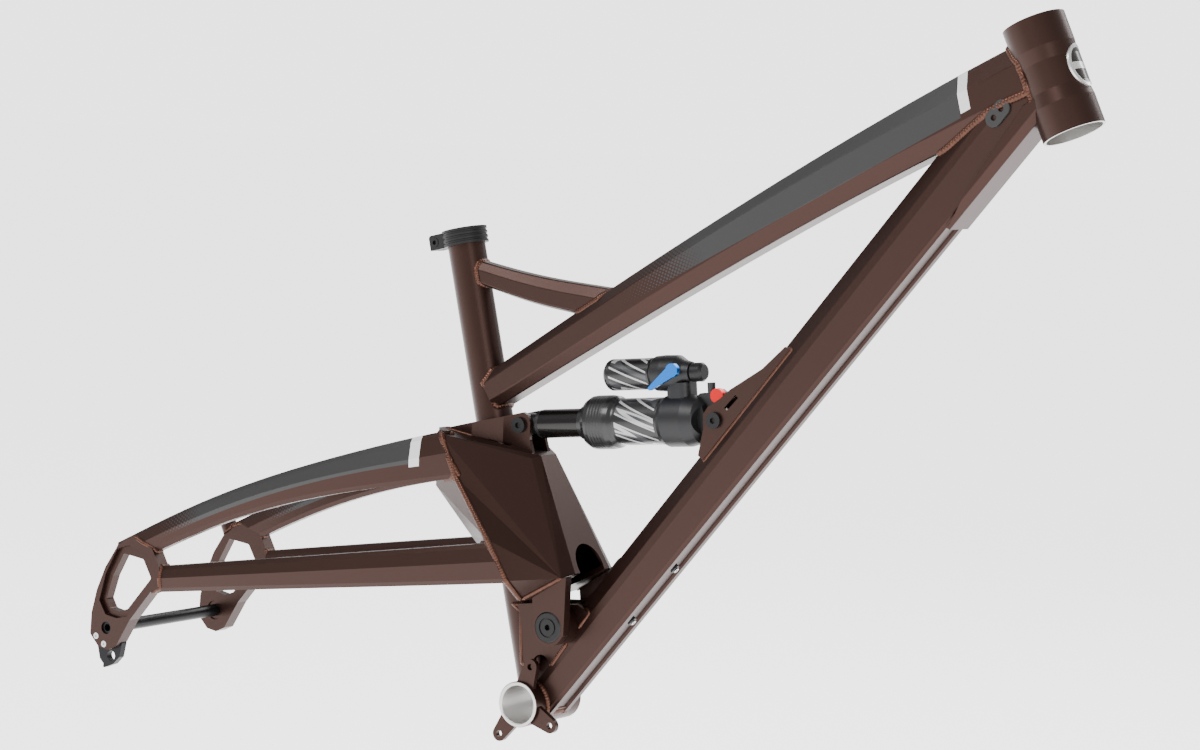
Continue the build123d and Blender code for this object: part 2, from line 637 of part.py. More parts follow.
yoke_envelope = yoke_solid(1)
for side, name in ((RIGHT, "right"), (LEFT, "left")):
    dropout = biggest(dropouts[side])
    chain_outer, chain_inner = stay(chainstay_stations, side)
    upper_outer, upper_inner = stay(upper_stay_stations, side)
    dropout_zone = rounded_prism(dropout_outline, 3.0, side * 60, side * 100)
    save(f"dropout_{name}", dropout)
    save(f"chainstay_{name}",
         biggest(chain_outer - chain_inner - yoke_envelope - dropout_zone - chainstay_trim))
    save(f"upper_stay_{name}",
         biggest(upper_outer - upper_inner - yoke_envelope - dropout_zone - upper_stay_trim))

# Post mount for a disc brake on the left upper stay: two threaded posts, 74.2 mm apart
post_spacing, post_radius, post_thread = 74.2, 8.0, 2.6
post_height = 9.0
left_upper = stay(upper_stay_stations, LEFT)[0]
post_slope = radians(26.0)
post_dir = Vector(-sin(post_slope), 0, cos(post_slope))
post_first = Vector(-437.0, 79.0, 96.0)
post_run = Vector(cos(post_slope), 0, sin(post_slope))
posts = []
for step in (0, 1):
    foot = post_first + post_run * (post_spacing * step)
    post = rod(foot, foot + post_dir * (13 + post_height), post_radius)
    post -= rod(foot + post_dir * 8, foot + post_dir * 30, post_thread)
    posts.append(biggest(post - left_upper - dropout_zone))
save("brake_mount", Compound(children=posts))

# ---------------------------------------------------------------- swingarm: pivot ears and axle
ear_inner = pivot_housing_width / 2 + ear_gap
ear_outer = ear_inner + ear_thickness
ear_outline = ((16, 101), (18, 84), (34, 60), (51.5, 70), (52, 124), (45, 121))
cap_radius, cap_head = 14.2, 3.0
for side, name in ((RIGHT, "right"), (LEFT, "left")):
    ear = side_prism(ear_outline, side * ear_inner, side * ear_outer)
    ear += disc(pivot_x, pivot_z, ear_radius, side * ear_inner, side * ear_outer)
    ear -= disc(pivot_x, pivot_z, cap_radius, side * (ear_outer - 4.0), side * (ear_outer + 1))
    ear -= disc(pivot_x, pivot_z, pivot_axle_diameter / 2, side * 10, side * 60)
    save(f"pivot_ear_{name}", biggest(ear - yoke_envelope))
    cap = disc(pivot_x, pivot_z, cap_radius - 0.1, side * (ear_outer - 4.0),
               side * (ear_outer + cap_head - 2.0))
    cap = chamfer(cap.edges().filter_by(GeomType.CIRCLE).sort_by(Axis.Y)[0 if side == RIGHT else -1], 1.2)
    outer_face = side * (ear_outer + cap_head - 2.0)
    cap -= disc(pivot_x, pivot_z, 9.0, outer_face - side * 1.0, outer_face + side) \
        - disc(pivot_x, pivot_z, 7.5, outer_face - side * 2.0, outer_face + side * 2)
    socket = Plane((pivot_x, outer_face, pivot_z), z_dir=(0, side, 0)) * RegularPolygon(3.0, 6)
    cap -= extrude(socket, amount=-4.0, both=True)
    save(f"pivot_cap_{name}", biggest(cap))

axle_end = ear_outer - 4.0
pivot_axle = disc(pivot_x, pivot_z, pivot_axle_diameter / 2, -axle_end, axle_end)
save("pivot_axle", pivot_axle - disc(pivot_x, pivot_z, pivot_axle_diameter / 2 - 2.5, -60, 60))

# ---------------------------------------------------------------- swingarm: shock bracket
# A folded plate each side of the seat tube, standing on the yoke
rear_outline = ((-9.5, 222), (-9.5, 228), (-13.4, 240), (-13.4, 256), (-17, 262.5), (-22, 264.5),
                (-41, 259.5),
                (-95, 244.5), (-95, 240), (-60, 232))
fold_x, fold_spread = -42.0, 16.0
for side, name in ((RIGHT, "right"), (LEFT, "left")):
    inner = [(0, side * bracket_inner_y), (fold_x, side * bracket_inner_y),
             (fold_x - 24, side * (bracket_inner_y + fold_spread)),
             (-120, side * (bracket_inner_y + fold_spread + 12))]
    outer = [(x - (1.2 if i else 0), y + side * bracket_plate) for i, (x, y) in enumerate(inner)]
    plan = make_face(Polyline(*(inner + outer[::-1]), close=True))
    folded = extrude(Plane.XY.offset(180) * plan, amount=120)
    plate = folded & side_prism(rear_outline, -80, 80)
    plate -= disc(rear_eye_x, rear_eye_z, shock_bolt_diameter / 2, -30, 30)
    save(f"shock_bracket_{name}", biggest(plate - yoke_envelope))


def shock_bolt(eye):
    """Bolt through a shock eye, with its head on the right and its nut on the left."""
    shank = disc(eye.X, eye.Z, shock_bolt_diameter / 2, -bracket_outer_y, bracket_outer_y + 3)
    head = disc(eye.X, eye.Z, 7.2, -bracket_outer_y - 3.2, -bracket_outer_y)
    nut = disc(eye.X, eye.Z, 7.0, bracket_outer_y, bracket_outer_y + 5)
    socket = Plane((eye.X, -bracket_outer_y - 1.0, eye.Z), z_dir=(0, -1, 0)) * RegularPolygon(3.0, 6)
    return biggest(shank + head + nut - extrude(socket, amount=6))


save("shock_bolt_rear", shock_bolt(rear_eye))
save("shock_bolt_front", shock_bolt(front_eye))

# ---------------------------------------------------------------- rear axle
axle_head_length, axle_head_radius = 8.0, 9.0
rear_axle = disc(axle_x, axle_z, rear_axle_diameter / 2, -dropout_face + 2.0, dropout_face)
rear_axle += disc(axle_x, axle_z, axle_head_radius, dropout_face + 0.1, dropout_face + axle_head_length)
rear_axle += disc(axle_x, axle_z, rear_axle_diameter / 2, dropout_face, dropout_face + 1)
rear_axle -= disc(axle_x, axle_z, 3.6, -120, -dropout_face + 14.0)
hexagon = Plane((axle_x, dropout_face + axle_head_length, axle_z), z_dir=(0, 1, 0)) * RegularPolygon(3.5, 6)
rear_axle -= extrude(hexagon, amount=-6)
save("rear_axle", biggest(rear_axle))

# ---------------------------------------------------------------- shock: damper side (rear eye)
damper_r = damper_diameter / 2
lip_start = 63.5
ring_start, ring_end = 74.0, 104.0
can_end = 153.0
damper_start = 14.0
damper_length = 87.0
open_pivot_gap = 1.6
eyelet = disc(rear_eye_x, rear_eye_z, eye_radius + 1.4, -eye_width / 2, eye_width / 2)
eyelet += rod(on_shock(0), on_shock(damper_start), 9.5) & disc(rear_eye_x, rear_eye_z, 40, -eye_width / 2,
                                                               eye_width / 2)
eyelet += turned(on_shock(0), shock_dir,
                 [(damper_start - 0.4, 0), (damper_start - 0.4, 9.0), (damper_start + 1.5, damper_r - 0.5),
                                          (damper_start + 5.0, damper_r - 0.5), (damper_start + 5.0, 0)])
eyelet -= disc(rear_eye_x, rear_eye_z, bushing_outer / 2, -30, 30)
save("rear_eyelet", biggest(eyelet))
bushing = disc(rear_eye_x, rear_eye_z, bushing_outer / 2, -eye_width / 2, eye_width / 2)
save("rear_eye_bushing",
     bushing - disc(rear_eye_x, rear_eye_z, shock_bolt_diameter / 2 + open_pivot_gap, -30, 30))
damper_tube = turned(on_shock(0), shock_dir, [(damper_start + 5.0, 0), (damper_start + 5.0, damper_r),
                                              (damper_start + damper_length, damper_r),
                                              (damper_start + damper_length, 0)])
damper_tube -= rod(on_shock(damper_start + 9), on_shock(damper_start + damper_length + 1), damper_r - 1.8)
save("damper_tube", damper_tube)
piston_start = damper_start + damper_length - 8.0
piston = turned(on_shock(0), shock_dir,
                [(piston_start - 2, damper_r), (piston_start - 2, air_can_bore / 2 - sliding_clearance),
                                         (piston_start + 7, air_can_bore / 2 - sliding_clearance),
                 (piston_start + 7, damper_r)])
save("air_piston", piston)

# ---------------------------------------------------------------- shock: body side (front eye)
ring_r, can_r = air_ring_diameter / 2, air_can_diameter / 2
can_profile = [(lip_start, damper_r + sliding_clearance), (lip_start, damper_r + 2.2),
               (lip_start + 5, damper_r + 2.8),
               (lip_start + 6.5, 18.5), (ring_start - 2, ring_r - 2.5), (ring_start + 2, ring_r - 0.4),
               (ring_start + 6, ring_r),
               (ring_end - 9, ring_r), (ring_end - 3, ring_r - 1.0), (ring_end, can_r + 0.4),
               (ring_end + 1.5, can_r),
               (can_end, can_r), (can_end, air_can_bore / 2), (lip_start + 10, air_can_bore / 2),
               (lip_start + 10, damper_r + sliding_clearance)]
air_can = turned(on_shock(0), shock_dir, can_profile)
save("air_can", air_can)

head_r = 23.6
head_profile_shock = [(can_end, 0), (can_end, head_r - 1.6), (can_end + 4, head_r), (can_end + 25, head_r),
                      (can_end + 36, 21.0), (can_end + 42, 15.5), (can_end + 45, 9.0), (can_end + 45, 0)]
shock_head = turned(on_shock(0), shock_dir, head_profile_shock)
neck = Plane(on_shock(can_end + 16.0, 14), x_dir=(0, 1, 0), z_dir=shock_up) * RectangleRounded(24, 24, 8)
shock_head += extrude(neck, amount=20)
fork = rod(on_shock(can_end + 30), on_shock(eye_to_eye), eye_radius)
fork += disc(front_eye_x, front_eye_z, eye_radius, -eye_width / 2, eye_width / 2)
lug_outline = [on_shock(*p) for p in ((180, 6), (206, 6), (215, 17), (215.5, 24), (211, 27), (205, 24),
                                      (190, 24), (182, 19))]
lug = side_prism([(p.X, p.Z) for p in lug_outline], -3.3, 3.3)
shock_head = shock_head + fork + lug
for side in (RIGHT, LEFT):
    shock_head -= disc(front_eye_x, front_eye_z, 20.5, side * eye_width / 2, side * 40)
shock_head -= disc(front_eye_x, front_eye_z, bushing_outer / 2 - 0.5, -30, 30)
reservoir_start, reservoir_end = 92.0, 142.0
reservoir_head_end = 181.0
res_r = reservoir_diameter / 2
reservoir_head = turned(on_shock(0, reservoir_offset), shock_dir,
                        [(reservoir_end, 0), (reservoir_end, res_r - 0.4), (reservoir_end + 3, res_r + 1.4),
                         (reservoir_end + 12, res_r + 2.0),
                         (reservoir_end + 26, res_r + 1.6), (reservoir_end + 33, res_r - 3),
                         (reservoir_head_end, 9.5), (reservoir_head_end, 0)])
shock_head = shock_head + reservoir_head
save("shock_head", biggest(shock_head - air_can))
front_bushing = disc(front_eye_x, front_eye_z, bushing_outer / 2 - 0.5, -eye_width / 2, eye_width / 2)
save("front_eye_bushing",
     front_bushing - disc(front_eye_x, front_eye_z, shock_bolt_diameter / 2 + bearing_clearance, -30, 30))

reservoir = turned(on_shock(0, reservoir_offset), shock_dir,
                   [(reservoir_start, 0), (reservoir_start, res_r - 4), (reservoir_start + 3, res_r - 0.8),
                    (reservoir_start + 5, res_r),
                    (reservoir_end, res_r), (reservoir_end, 0)])
reservoir -= rod(on_shock(reservoir_start + 6, reservoir_offset),
                 on_shock(reservoir_end + 1, reservoir_offset), res_r - 1.8)
save("reservoir", biggest(reservoir))

knob_start = reservoir_head_end + body_gap
knob_profile = [(knob_start, 0), (knob_start, 8.0), (knob_start + 1, 8.6), (knob_start + 10, 8.6),
                (knob_start + 12.5, 6.6),
                (knob_start + 12.5, 0)]
save("compression_knob", turned(on_shock(0, reservoir_offset), shock_dir, knob_profile))

# Lever for the firm setting, on the right side of the reservoir's head
lever_pivot = on_shock(172.0, reservoir_offset + 3.0)
lever_y_in = -res_r - 2.0 - body_gap
lever_tip = on_shock(146.0, reservoir_offset - 13.5)
lever_thickness = 3.6
reach = (lever_tip - lever_pivot).length
lever_plane = Plane((lever_pivot.X, lever_y_in, lever_pivot.Z), x_dir=(lever_tip - lever_pivot),
                    z_dir=(0, -1, 0))
lever_face = make_hull((Circle(5.6).edges() + (Pos(reach - 2, 0) * Circle(1.9)).edges()))
lever = extrude(lever_plane * lever_face, amount=lever_thickness)
lever += extrude(lever_plane * Circle(6.2), amount=lever_thickness + 1.0)
save("firm_lever", lever)

rebound_centre = on_shock(210.5, 21.5)
rebound_knob = disc(rebound_centre.X, rebound_centre.Z, 6.5, -3.3 - body_gap, -9.4)
save("rebound_knob", rebound_knob)
valve_cap = rod(on_shock(200.0, 24.0), on_shock(200.0, 33.0), 3.6)
save("air_valve_cap", valve_cap)
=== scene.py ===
"""Looks for a full-suspension bicycle frame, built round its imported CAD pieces.

The CAD pieces keep their shape and place. This script gives them their finishes, lays the weld
beads along every joint between two tubes, and sets up the floor, the lights and the camera.
Metres throughout: +X forwards, +Y to the bike's left, +Z up, origin at the bottom bracket.
"""

from __future__ import annotations

import json
import logging
import math
import random
from dataclasses import dataclass
from enum import Enum
from typing import Callable, Iterable, Optional, Sequence, Union

import bmesh
import bpy
from mathutils import Matrix, Vector
from mathutils.bvhtree import BVHTree

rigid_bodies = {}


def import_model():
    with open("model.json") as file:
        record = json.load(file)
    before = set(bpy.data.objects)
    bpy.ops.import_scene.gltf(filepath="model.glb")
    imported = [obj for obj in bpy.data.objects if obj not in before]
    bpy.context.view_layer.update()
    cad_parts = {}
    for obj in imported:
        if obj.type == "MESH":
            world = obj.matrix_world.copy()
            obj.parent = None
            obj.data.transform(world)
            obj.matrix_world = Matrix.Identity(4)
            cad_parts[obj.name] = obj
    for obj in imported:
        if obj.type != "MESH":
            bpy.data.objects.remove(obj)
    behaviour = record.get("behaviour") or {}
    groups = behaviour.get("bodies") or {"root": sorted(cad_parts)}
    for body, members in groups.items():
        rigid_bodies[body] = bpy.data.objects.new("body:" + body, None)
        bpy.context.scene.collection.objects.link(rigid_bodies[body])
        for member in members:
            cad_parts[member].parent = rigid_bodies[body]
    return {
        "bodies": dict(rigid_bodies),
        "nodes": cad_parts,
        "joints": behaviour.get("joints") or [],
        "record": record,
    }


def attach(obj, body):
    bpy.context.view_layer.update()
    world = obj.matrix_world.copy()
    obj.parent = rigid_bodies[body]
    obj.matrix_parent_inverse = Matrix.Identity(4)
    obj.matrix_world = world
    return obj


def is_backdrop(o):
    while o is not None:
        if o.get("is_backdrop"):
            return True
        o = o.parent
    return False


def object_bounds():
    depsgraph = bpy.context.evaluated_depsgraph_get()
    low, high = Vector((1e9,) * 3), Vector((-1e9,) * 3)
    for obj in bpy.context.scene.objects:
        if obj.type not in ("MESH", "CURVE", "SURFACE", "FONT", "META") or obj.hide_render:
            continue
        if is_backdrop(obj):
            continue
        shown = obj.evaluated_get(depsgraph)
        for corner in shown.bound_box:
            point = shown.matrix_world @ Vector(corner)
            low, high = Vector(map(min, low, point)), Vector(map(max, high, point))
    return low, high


LOG = logging.getLogger("bicycle_frame")
MM = 0.001

# Camera: place in metres, then heading, pitch and roll in degrees, then millimetres
CAMERA_PLACE = (1.76566, -2.57239, 0.57566)
CAMERA_ANGLES = (33.68, -5.0206, 2.3545)
LENS = 103.03
SENSOR_WIDTH = 36.0

# Weld ripples: a bead's rise as a share of its width, and how its height swings along it
BEAD_RISE = 0.36
RIPPLE_LOW = 0.70
RIPPLE_SWING = 0.34


class Body(str, Enum):
    """The CAD bodies that visual pieces ride on."""

    FRONT = "front_frame"
    SWINGARM = "swingarm"


class Slot(str, Enum):
    """The record's material slots that this script finishes."""

    PAINT = "frame_paint"
    PIVOT = "pivot_black"
    BARE = "bare_aluminium"
    BEARING = "bearing_steel"
    BOLT = "bolt_silver"
    AXLE = "axle_black"
    COLLAR = "collar_black"
    SHOCK = "shock_black"
    CAN = "shock_gloss"
    DAMPER = "damper_dark"
    LEVER = "lever_blue"
    KNOB = "knob_red"
    RUBBER = "rubber_black"
    PLASTIC = "plastic_black"
    BADGE = "badge_dark"


# ---------------------------------------------------------------- shader arithmetic
Number = Union[float, int, "Sock"]


class Sock:
    """A shader output that takes part in ordinary arithmetic."""

    def __init__(self, graph: "Graph", output: bpy.types.NodeSocket) -> None:
        self.graph = graph
        self.output = output

    def math(self, operation: str, *others: Number, flip: bool = False) -> "Sock":
        """A Math node.

        Args:
            operation: Blender's name for the operation.
            others: The remaining inputs, as sockets or numbers.
            flip: True to put this socket second.

        Returns:
            The node's output.
        """
        inputs = [self, *others]
        if flip:
            inputs.reverse()
        return self.graph.node("ShaderNodeMath", inputs, operation=operation)

    def __add__(self, other: Number) -> "Sock":
        return self.math("ADD", other)

    def __radd__(self, other: Number) -> "Sock":
        return self.math("ADD", other, flip=True)

    def __sub__(self, other: Number) -> "Sock":
        return self.math("SUBTRACT", other)

    def __rsub__(self, other: Number) -> "Sock":
        return self.math("SUBTRACT", other, flip=True)

    def __mul__(self, other: Number) -> "Sock":
        return self.math("MULTIPLY", other)

    def __rmul__(self, other: Number) -> "Sock":
        return self.math("MULTIPLY", other, flip=True)

    def __truediv__(self, other: Number) -> "Sock":
        return self.math("DIVIDE", other)

    def __pow__(self, other: Number) -> "Sock":
        return self.math("POWER", other)

    def __gt__(self, other: Number) -> "Sock":
        return self.math("GREATER_THAN", other)

    def __lt__(self, other: Number) -> "Sock":
        return self.math("LESS_THAN", other)

    def __abs__(self) -> "Sock":
        return self.math("ABSOLUTE")

    def __or__(self, other: "Sock") -> "Sock":
        return self.math("MAXIMUM", other)

    def __and__(self, other: "Sock") -> "Sock":
        return self.math("MULTIPLY", other)

    def fract(self) -> "Sock":
        """The part after the decimal point."""
        return self.math("FRACT")

    def sine(self) -> "Sock":
        """The sine, in radians."""
        return self.math("SINE")

    def ramp(self, low: float, high: float, to_low: float = 0.0, to_high: float = 1.0) -> "Sock":
        """A smooth step from one value to another.

        Args:
            low: Where the step starts.
            high: Where it ends.
            to_low: The value before the step.
            to_high: The value after it.

        Returns:
            The stepped value.
        """
        return self.graph.node("ShaderNodeMapRange", [self, low, high, to_low, to_high],
                               interpolation_type="SMOOTHSTEP")


class Graph:
    """One procedural finish, written as arithmetic on sockets."""

    def __init__(self, name: str) -> None:
        self.material = bpy.data.materials.new(name)
        self.material.use_nodes = True
        self.tree = self.material.node_tree
        self.tree.nodes.clear()
        self.surface = self.tree.nodes.new("ShaderNodeBsdfPrincipled")
        output = self.tree.nodes.new("ShaderNodeOutputMaterial")
        self.tree.links.new(self.surface.outputs[0], output.inputs[0])
        self.place = self.node("ShaderNodeTexCoord", [], outlet="Object")

    def _feed(self, socket: bpy.types.NodeSocket, value: object) -> None:
        """Links a socket's wrapper, or sets a plain value."""
        if isinstance(value, Sock):
            self.tree.links.new(value.output, socket)
        elif value is not None:
            socket.default_value = value

    def node(self, kind: str, inputs: Sequence[object], outlet: Union[int, str] = 0,
             named: Optional[dict] = None, **settings: object) -> Sock:
        """Any shader node.

        Args:
            kind: The node's type.
            inputs: Values or sockets for its first inputs, in order; None leaves one alone.
            outlet: Which output to return.
            named: Values or sockets for inputs by name.
            settings: The node's own properties.

        Returns:
            The chosen output.
        """
        made = self.tree.nodes.new(kind)
        for key, value in settings.items():
            setattr(made, key, value)
        for socket, value in zip(made.inputs, inputs):
            self._feed(socket, value)
        for key, value in (named or {}).items():
            self._feed(made.inputs[key], value)
        return Sock(self, made.outputs[outlet])

    def dot(self, direction: Sequence[float], start: Sequence[float] = (0, 0, 0)) -> Sock:
        """Distance of the shaded point along a direction, in metres.

        Args:
            direction: A unit vector in the row frame.
            start: Where the distance is counted from.

        Returns:
            The distance.
        """
        away = self.node("ShaderNodeVectorMath", [self.place, tuple(start)], operation="SUBTRACT")
        return self.node("ShaderNodeVectorMath", [away, tuple(direction)], outlet="Value",
                         operation="DOT_PRODUCT")

    def noise(self, scale: float, detail: float = 2.0, stretch: Sequence[float] = (1, 1, 1)) -> Sock:
        """Cloudy noise from 0 to 1.

        Args:
            scale: Waves per metre.
            detail: Octaves.
            stretch: A factor for each axis.

        Returns:
            The noise.
        """
        spread = self.node("ShaderNodeVectorMath", [self.place, tuple(stretch)], operation="MULTIPLY")
        return self.node("ShaderNodeTexNoise", [spread, None, scale, detail])

    def mix(self, share: Number, first: object, second: object) -> Sock:
        """A blend of two colours.

        Args:
            share: 0 gives the first, 1 the second.
            first: A colour or socket.
            second: A colour or socket.

        Returns:
            The blended colour.
        """
        return self.node("ShaderNodeMix", [], outlet=2, data_type="RGBA",
                         named={0: share, 6: first, 7: second})

    def set(self, **values: object) -> "Graph":
        """Sets the surface's inputs by name, with underscores for spaces."""
        for key, value in values.items():
            self._feed(self.surface.inputs[key.replace("_", " ").title().replace("Ior", "IOR")], value)
        return self

    def bump(self, height: Sock, distance: float, strength: float = 1.0) -> "Graph":
        """Roughens the surface.

        Args:
            height: The relief, from 0 to 1.
            distance: What 1 stands for, in metres.
            strength: How much of it shows.

        Returns:
            This graph.
        """
        relief = self.node("ShaderNodeBump", [], named={"Strength": strength, "Distance": distance,
                                                        "Height": height})
        return self.set(normal=relief)


def colour(red: float, green: float, blue: float) -> tuple[float, float, float, float]:
    """A linear colour from display values of 0 to 255."""
    def linear(value: float) -> float:
        share = value / 255
        return share / 12.92 if share <= 0.04045 else ((share + 0.055) / 1.055) ** 2.4
    return linear(red), linear(green), linear(blue), 1.0


# ---------------------------------------------------------------- finishes
@dataclass(frozen=True)
class Finish:
    """A plain finish: one colour with a fine grain.

    Attributes:
        base: Base colour as display values.
        metallic: 0 for paint and plastic, 1 for bare metal.
        roughness: The middle of the roughness range.
        spread: How far the grain moves the roughness.
        coat: Weight of the clear coat.
        grain: Waves of grain per metre.
        relief: Height of the grain in metres.
    """

    base: tuple[float, float, float]
    metallic: float
    roughness: float
    spread: float = 0.06
    coat: float = 0.0
    grain: float = 900.0
    relief: float = 0.00002

    def build(self, name: str) -> Graph:
        """Makes the finish.

        Args:
            name: The material's name.

        Returns:
            Its graph, for a caller that adds more to it.
        """
        graph = Graph(name)
        grain = graph.noise(self.grain)
        wear = graph.noise(14.0, 3.0)
        graph.set(base_color=colour(*self.base), metallic=self.metallic, coat_weight=self.coat,
                  coat_roughness=0.18,
                  roughness=(wear * self.spread + grain * (self.spread / 2)
                             + (self.roughness - self.spread * 0.75)))
        return graph.bump(grain, self.relief, 0.5)


PAINT_DARK = colour(46, 28, 23)
PAINT_LIGHT = colour(57, 36, 30)
# The beads' dark tone is their paint; their light tone is a painted highlight for the sheen on the ripples.
BEAD_DARK = colour(50, 29, 22)
BEAD_HIGHLIGHT = colour(96, 60, 45)
DECAL_BASE = (30, 29, 30)
SILVER_BASE = (205, 205, 207)

PLAIN: dict[Slot, Finish] = {
    Slot.PIVOT: Finish((34, 33, 34), 0.7, 0.38),
    Slot.BEARING: Finish((150, 150, 152), 1.0, 0.3),
    Slot.BOLT: Finish((190, 190, 192), 1.0, 0.26),
    Slot.AXLE: Finish((30, 30, 32), 0.8, 0.34),
    Slot.COLLAR: Finish((34, 33, 34), 0.6, 0.42),
    Slot.SHOCK: Finish((26, 26, 28), 0.35, 0.42),
    Slot.DAMPER: Finish((52, 50, 50), 0.9, 0.16, spread=0.03),
    Slot.LEVER: Finish((22, 105, 190), 0.85, 0.28),
    Slot.KNOB: Finish((190, 30, 30), 0.85, 0.3),
    Slot.RUBBER: Finish((26, 26, 26), 0.0, 0.68, grain=400.0, relief=0.00006),
    Slot.PLASTIC: Finish((26, 26, 27), 0.0, 0.5),
}


@dataclass(frozen=True)
class Decal:
    """A dark panel along the upper side of a tube, fading into dots behind and closed by a bar in front.

    Attributes:
        start: A point on the lower border of the panel, in metres.
        along: The border's direction.
        fade_from: Distance along where the first dots stand.
        solid_from: Where the panel is solid.
        bar_from: Where the panel ends and the silver bar starts.
        bar_to: Where it ends.
        tilt: How far the border turns up from that direction, as a slope.
        curve: How fast it then bends down, per metre.
        drop: How far the bar reaches below the border, in metres.
        lean: How far the bar leans forwards as it goes down, as a slope.
    """

    start: tuple[float, float, float]
    along: tuple[float, float, float]
    fade_from: float
    solid_from: float
    bar_from: float
    bar_to: float
    tilt: float = 0.0
    curve: float = 0.0
    drop: float = 0.0
    lean: float = 0.33

    def lay(self, graph: Graph, paint: Sock) -> tuple[Sock, Sock, Sock]:
        """Works the panel out on a graph.

        Args:
            graph: The finish it goes on.
            paint: The colour under it.

        Returns:
            The colour, the panel's mask and the bar's mask.
        """
        run = Vector(self.along).normalized()
        up = Vector((-run.z, 0.0, run.x))
        along = graph.dot(run, self.start)
        height = graph.dot(up, self.start) - along * self.tilt + along * along * self.curve
        over = height.ramp(-0.0002, 0.0002)
        side = abs(graph.dot((0, 1, 0)))
        pitch = 0.0042
        dots = ((along + height) / pitch).fract() - 0.5
        cross = ((along - height) / pitch).fract() - 0.5
        reach = along.ramp(self.fade_from, self.solid_from, 0.05, 1.02)
        speckle = (abs(dots) | abs(cross)).math("LESS_THAN", reach * 0.5)
        lean = along - height * self.lean
        inside = (along > self.fade_from) & (lean < self.bar_from - 0.0006)
        panel = over & inside & speckle
        bar = (lean > self.bar_from) & (lean < self.bar_to) & height.ramp(-0.0002 - self.drop,
                                                                          0.0002 - self.drop)
        bar = bar & (side > 0.004)
        tone = graph.mix(panel, paint, colour(*DECAL_BASE))
        return graph.mix(bar, tone, colour(*SILVER_BASE)), panel, bar


TOP_DECAL = Decal(start=(0.2571, 0.0, 0.4640), along=(0.8770, 0.0, 0.4805),
                  fade_from=-0.216, solid_from=-0.086, bar_from=0.181, bar_to=0.191, drop=-0.003, lean=0.24)
STAY_DECAL = Decal(start=(-0.2511, 0.0, 0.1727), along=(0.9530, 0.0, 0.3031),
                   fade_from=-0.170, solid_from=-0.085, bar_from=0.151, bar_to=0.162,
                   tilt=0.025, curve=0.42, drop=0.003)


def paint_graph(name: str, decal: Optional[Decal] = None) -> Graph:
    """Satin metallic paint with a fine flake, and a decal where one is given.

    Args:
        name: The material's name.
        decal: The panel laid over the paint.

    Returns:
        The finish.
    """
    graph = Graph(name)
    cloud = graph.noise(5.0, 2.0)
    flake = graph.noise(2600.0, 1.0)
    tone = graph.mix(cloud * 0.6 + flake * 0.4, PAINT_DARK, PAINT_LIGHT)
    metal = flake * 0.1 + 0.78
    rough = cloud * 0.06 + flake * 0.05 + 0.31
    if decal:
        tone, panel, bar = decal.lay(graph, tone)
        metal = metal * (1.0 - panel) + panel * 0.15
        metal = metal * (1.0 - bar) + bar * 0.2
        rough = rough + panel * 0.05 + bar * 0.05
    graph.set(base_color=tone, metallic=metal, roughness=rough, coat_weight=0.12, coat_roughness=0.25)
    return graph.bump(graph.noise(620.0, 2.0), 0.00003, 0.35)


def bead_graph() -> Graph:
    """The paint over a weld, mottled at random with a lighter, warmer tone than on the tubes: a painted
    highlight for the sheen its ripples catch.
    """
    graph = Graph("weld_paint")
    # Painted highlight: noise mixes a lighter, warmer tone into the bead paint to stand in for the sheen
    # its ripples catch.
    bead_sheen = graph.noise(260.0, 2.0)
    graph.set(base_color=graph.mix(bead_sheen, BEAD_DARK, BEAD_HIGHLIGHT), metallic=0.78,
              roughness=bead_sheen * 0.1 + 0.3, coat_weight=0.1)
    return graph.bump(graph.noise(900.0), 0.00003, 0.4)


def bare_graph() -> Graph:
    """Machined aluminium with turning marks on its faces and a thread in its bore."""
    graph = Graph("bare_aluminium")
    across, climb = graph.dot((1, 0, 0)), graph.dot((0, 0, 1))
    radius = (across * across + climb * climb) ** 0.5
    rings = (radius * 9000.0).sine()
    bore = radius < 0.0178
    thread = (graph.dot((0, 1, 0)) * (2 * math.pi / 0.00106)).sine()
    shell = 1.0 - (radius > 0.0206)
    paint = graph.mix(graph.noise(5.0), PAINT_DARK, PAINT_LIGHT)
    metal = graph.mix(graph.noise(30.0, 3.0), colour(186, 184, 182), colour(208, 206, 203))
    graph.set(base_color=graph.mix(shell, paint, metal), metallic=shell * 0.15 + 0.8,
              roughness=0.34 - shell * 0.04 + rings * 0.03)
    return graph.bump(thread * bore * 0.5 + rings * 0.03 + 0.5, 0.0004, 0.7)


def head_tube_graph() -> Graph:
    """Paint outside, bare metal on the faced ends and in the seats."""
    graph = Graph("head_tube_paint")
    axis = Vector((-math.cos(math.radians(64.5)), 0.0, math.sin(math.radians(64.5))))
    front = Vector((axis.z, 0.0, -axis.x))
    base = (0.511, 0.0, 0.542)
    along = graph.dot(axis, base)
    out, side = graph.dot(front, base), graph.dot((0, 1, 0))
    radius = (out * out + side * side) ** 0.5
    bare = (radius < 0.02525) | (along < 0.00012) | (along > 0.09988)
    cloud, flake = graph.noise(5.0), graph.noise(2600.0, 1.0)
    paint = graph.mix(cloud * 0.6 + flake * 0.4, PAINT_DARK, PAINT_LIGHT)
    graph.set(base_color=graph.mix(bare, paint, colour(196, 194, 191)), metallic=bare * 0.18 + 0.8,
              roughness=0.36 - bare * 0.06 + cloud * 0.05, coat_weight=0.12, coat_roughness=0.25)
    return graph.bump(graph.noise(620.0, 2.0), 0.00003, 0.35)


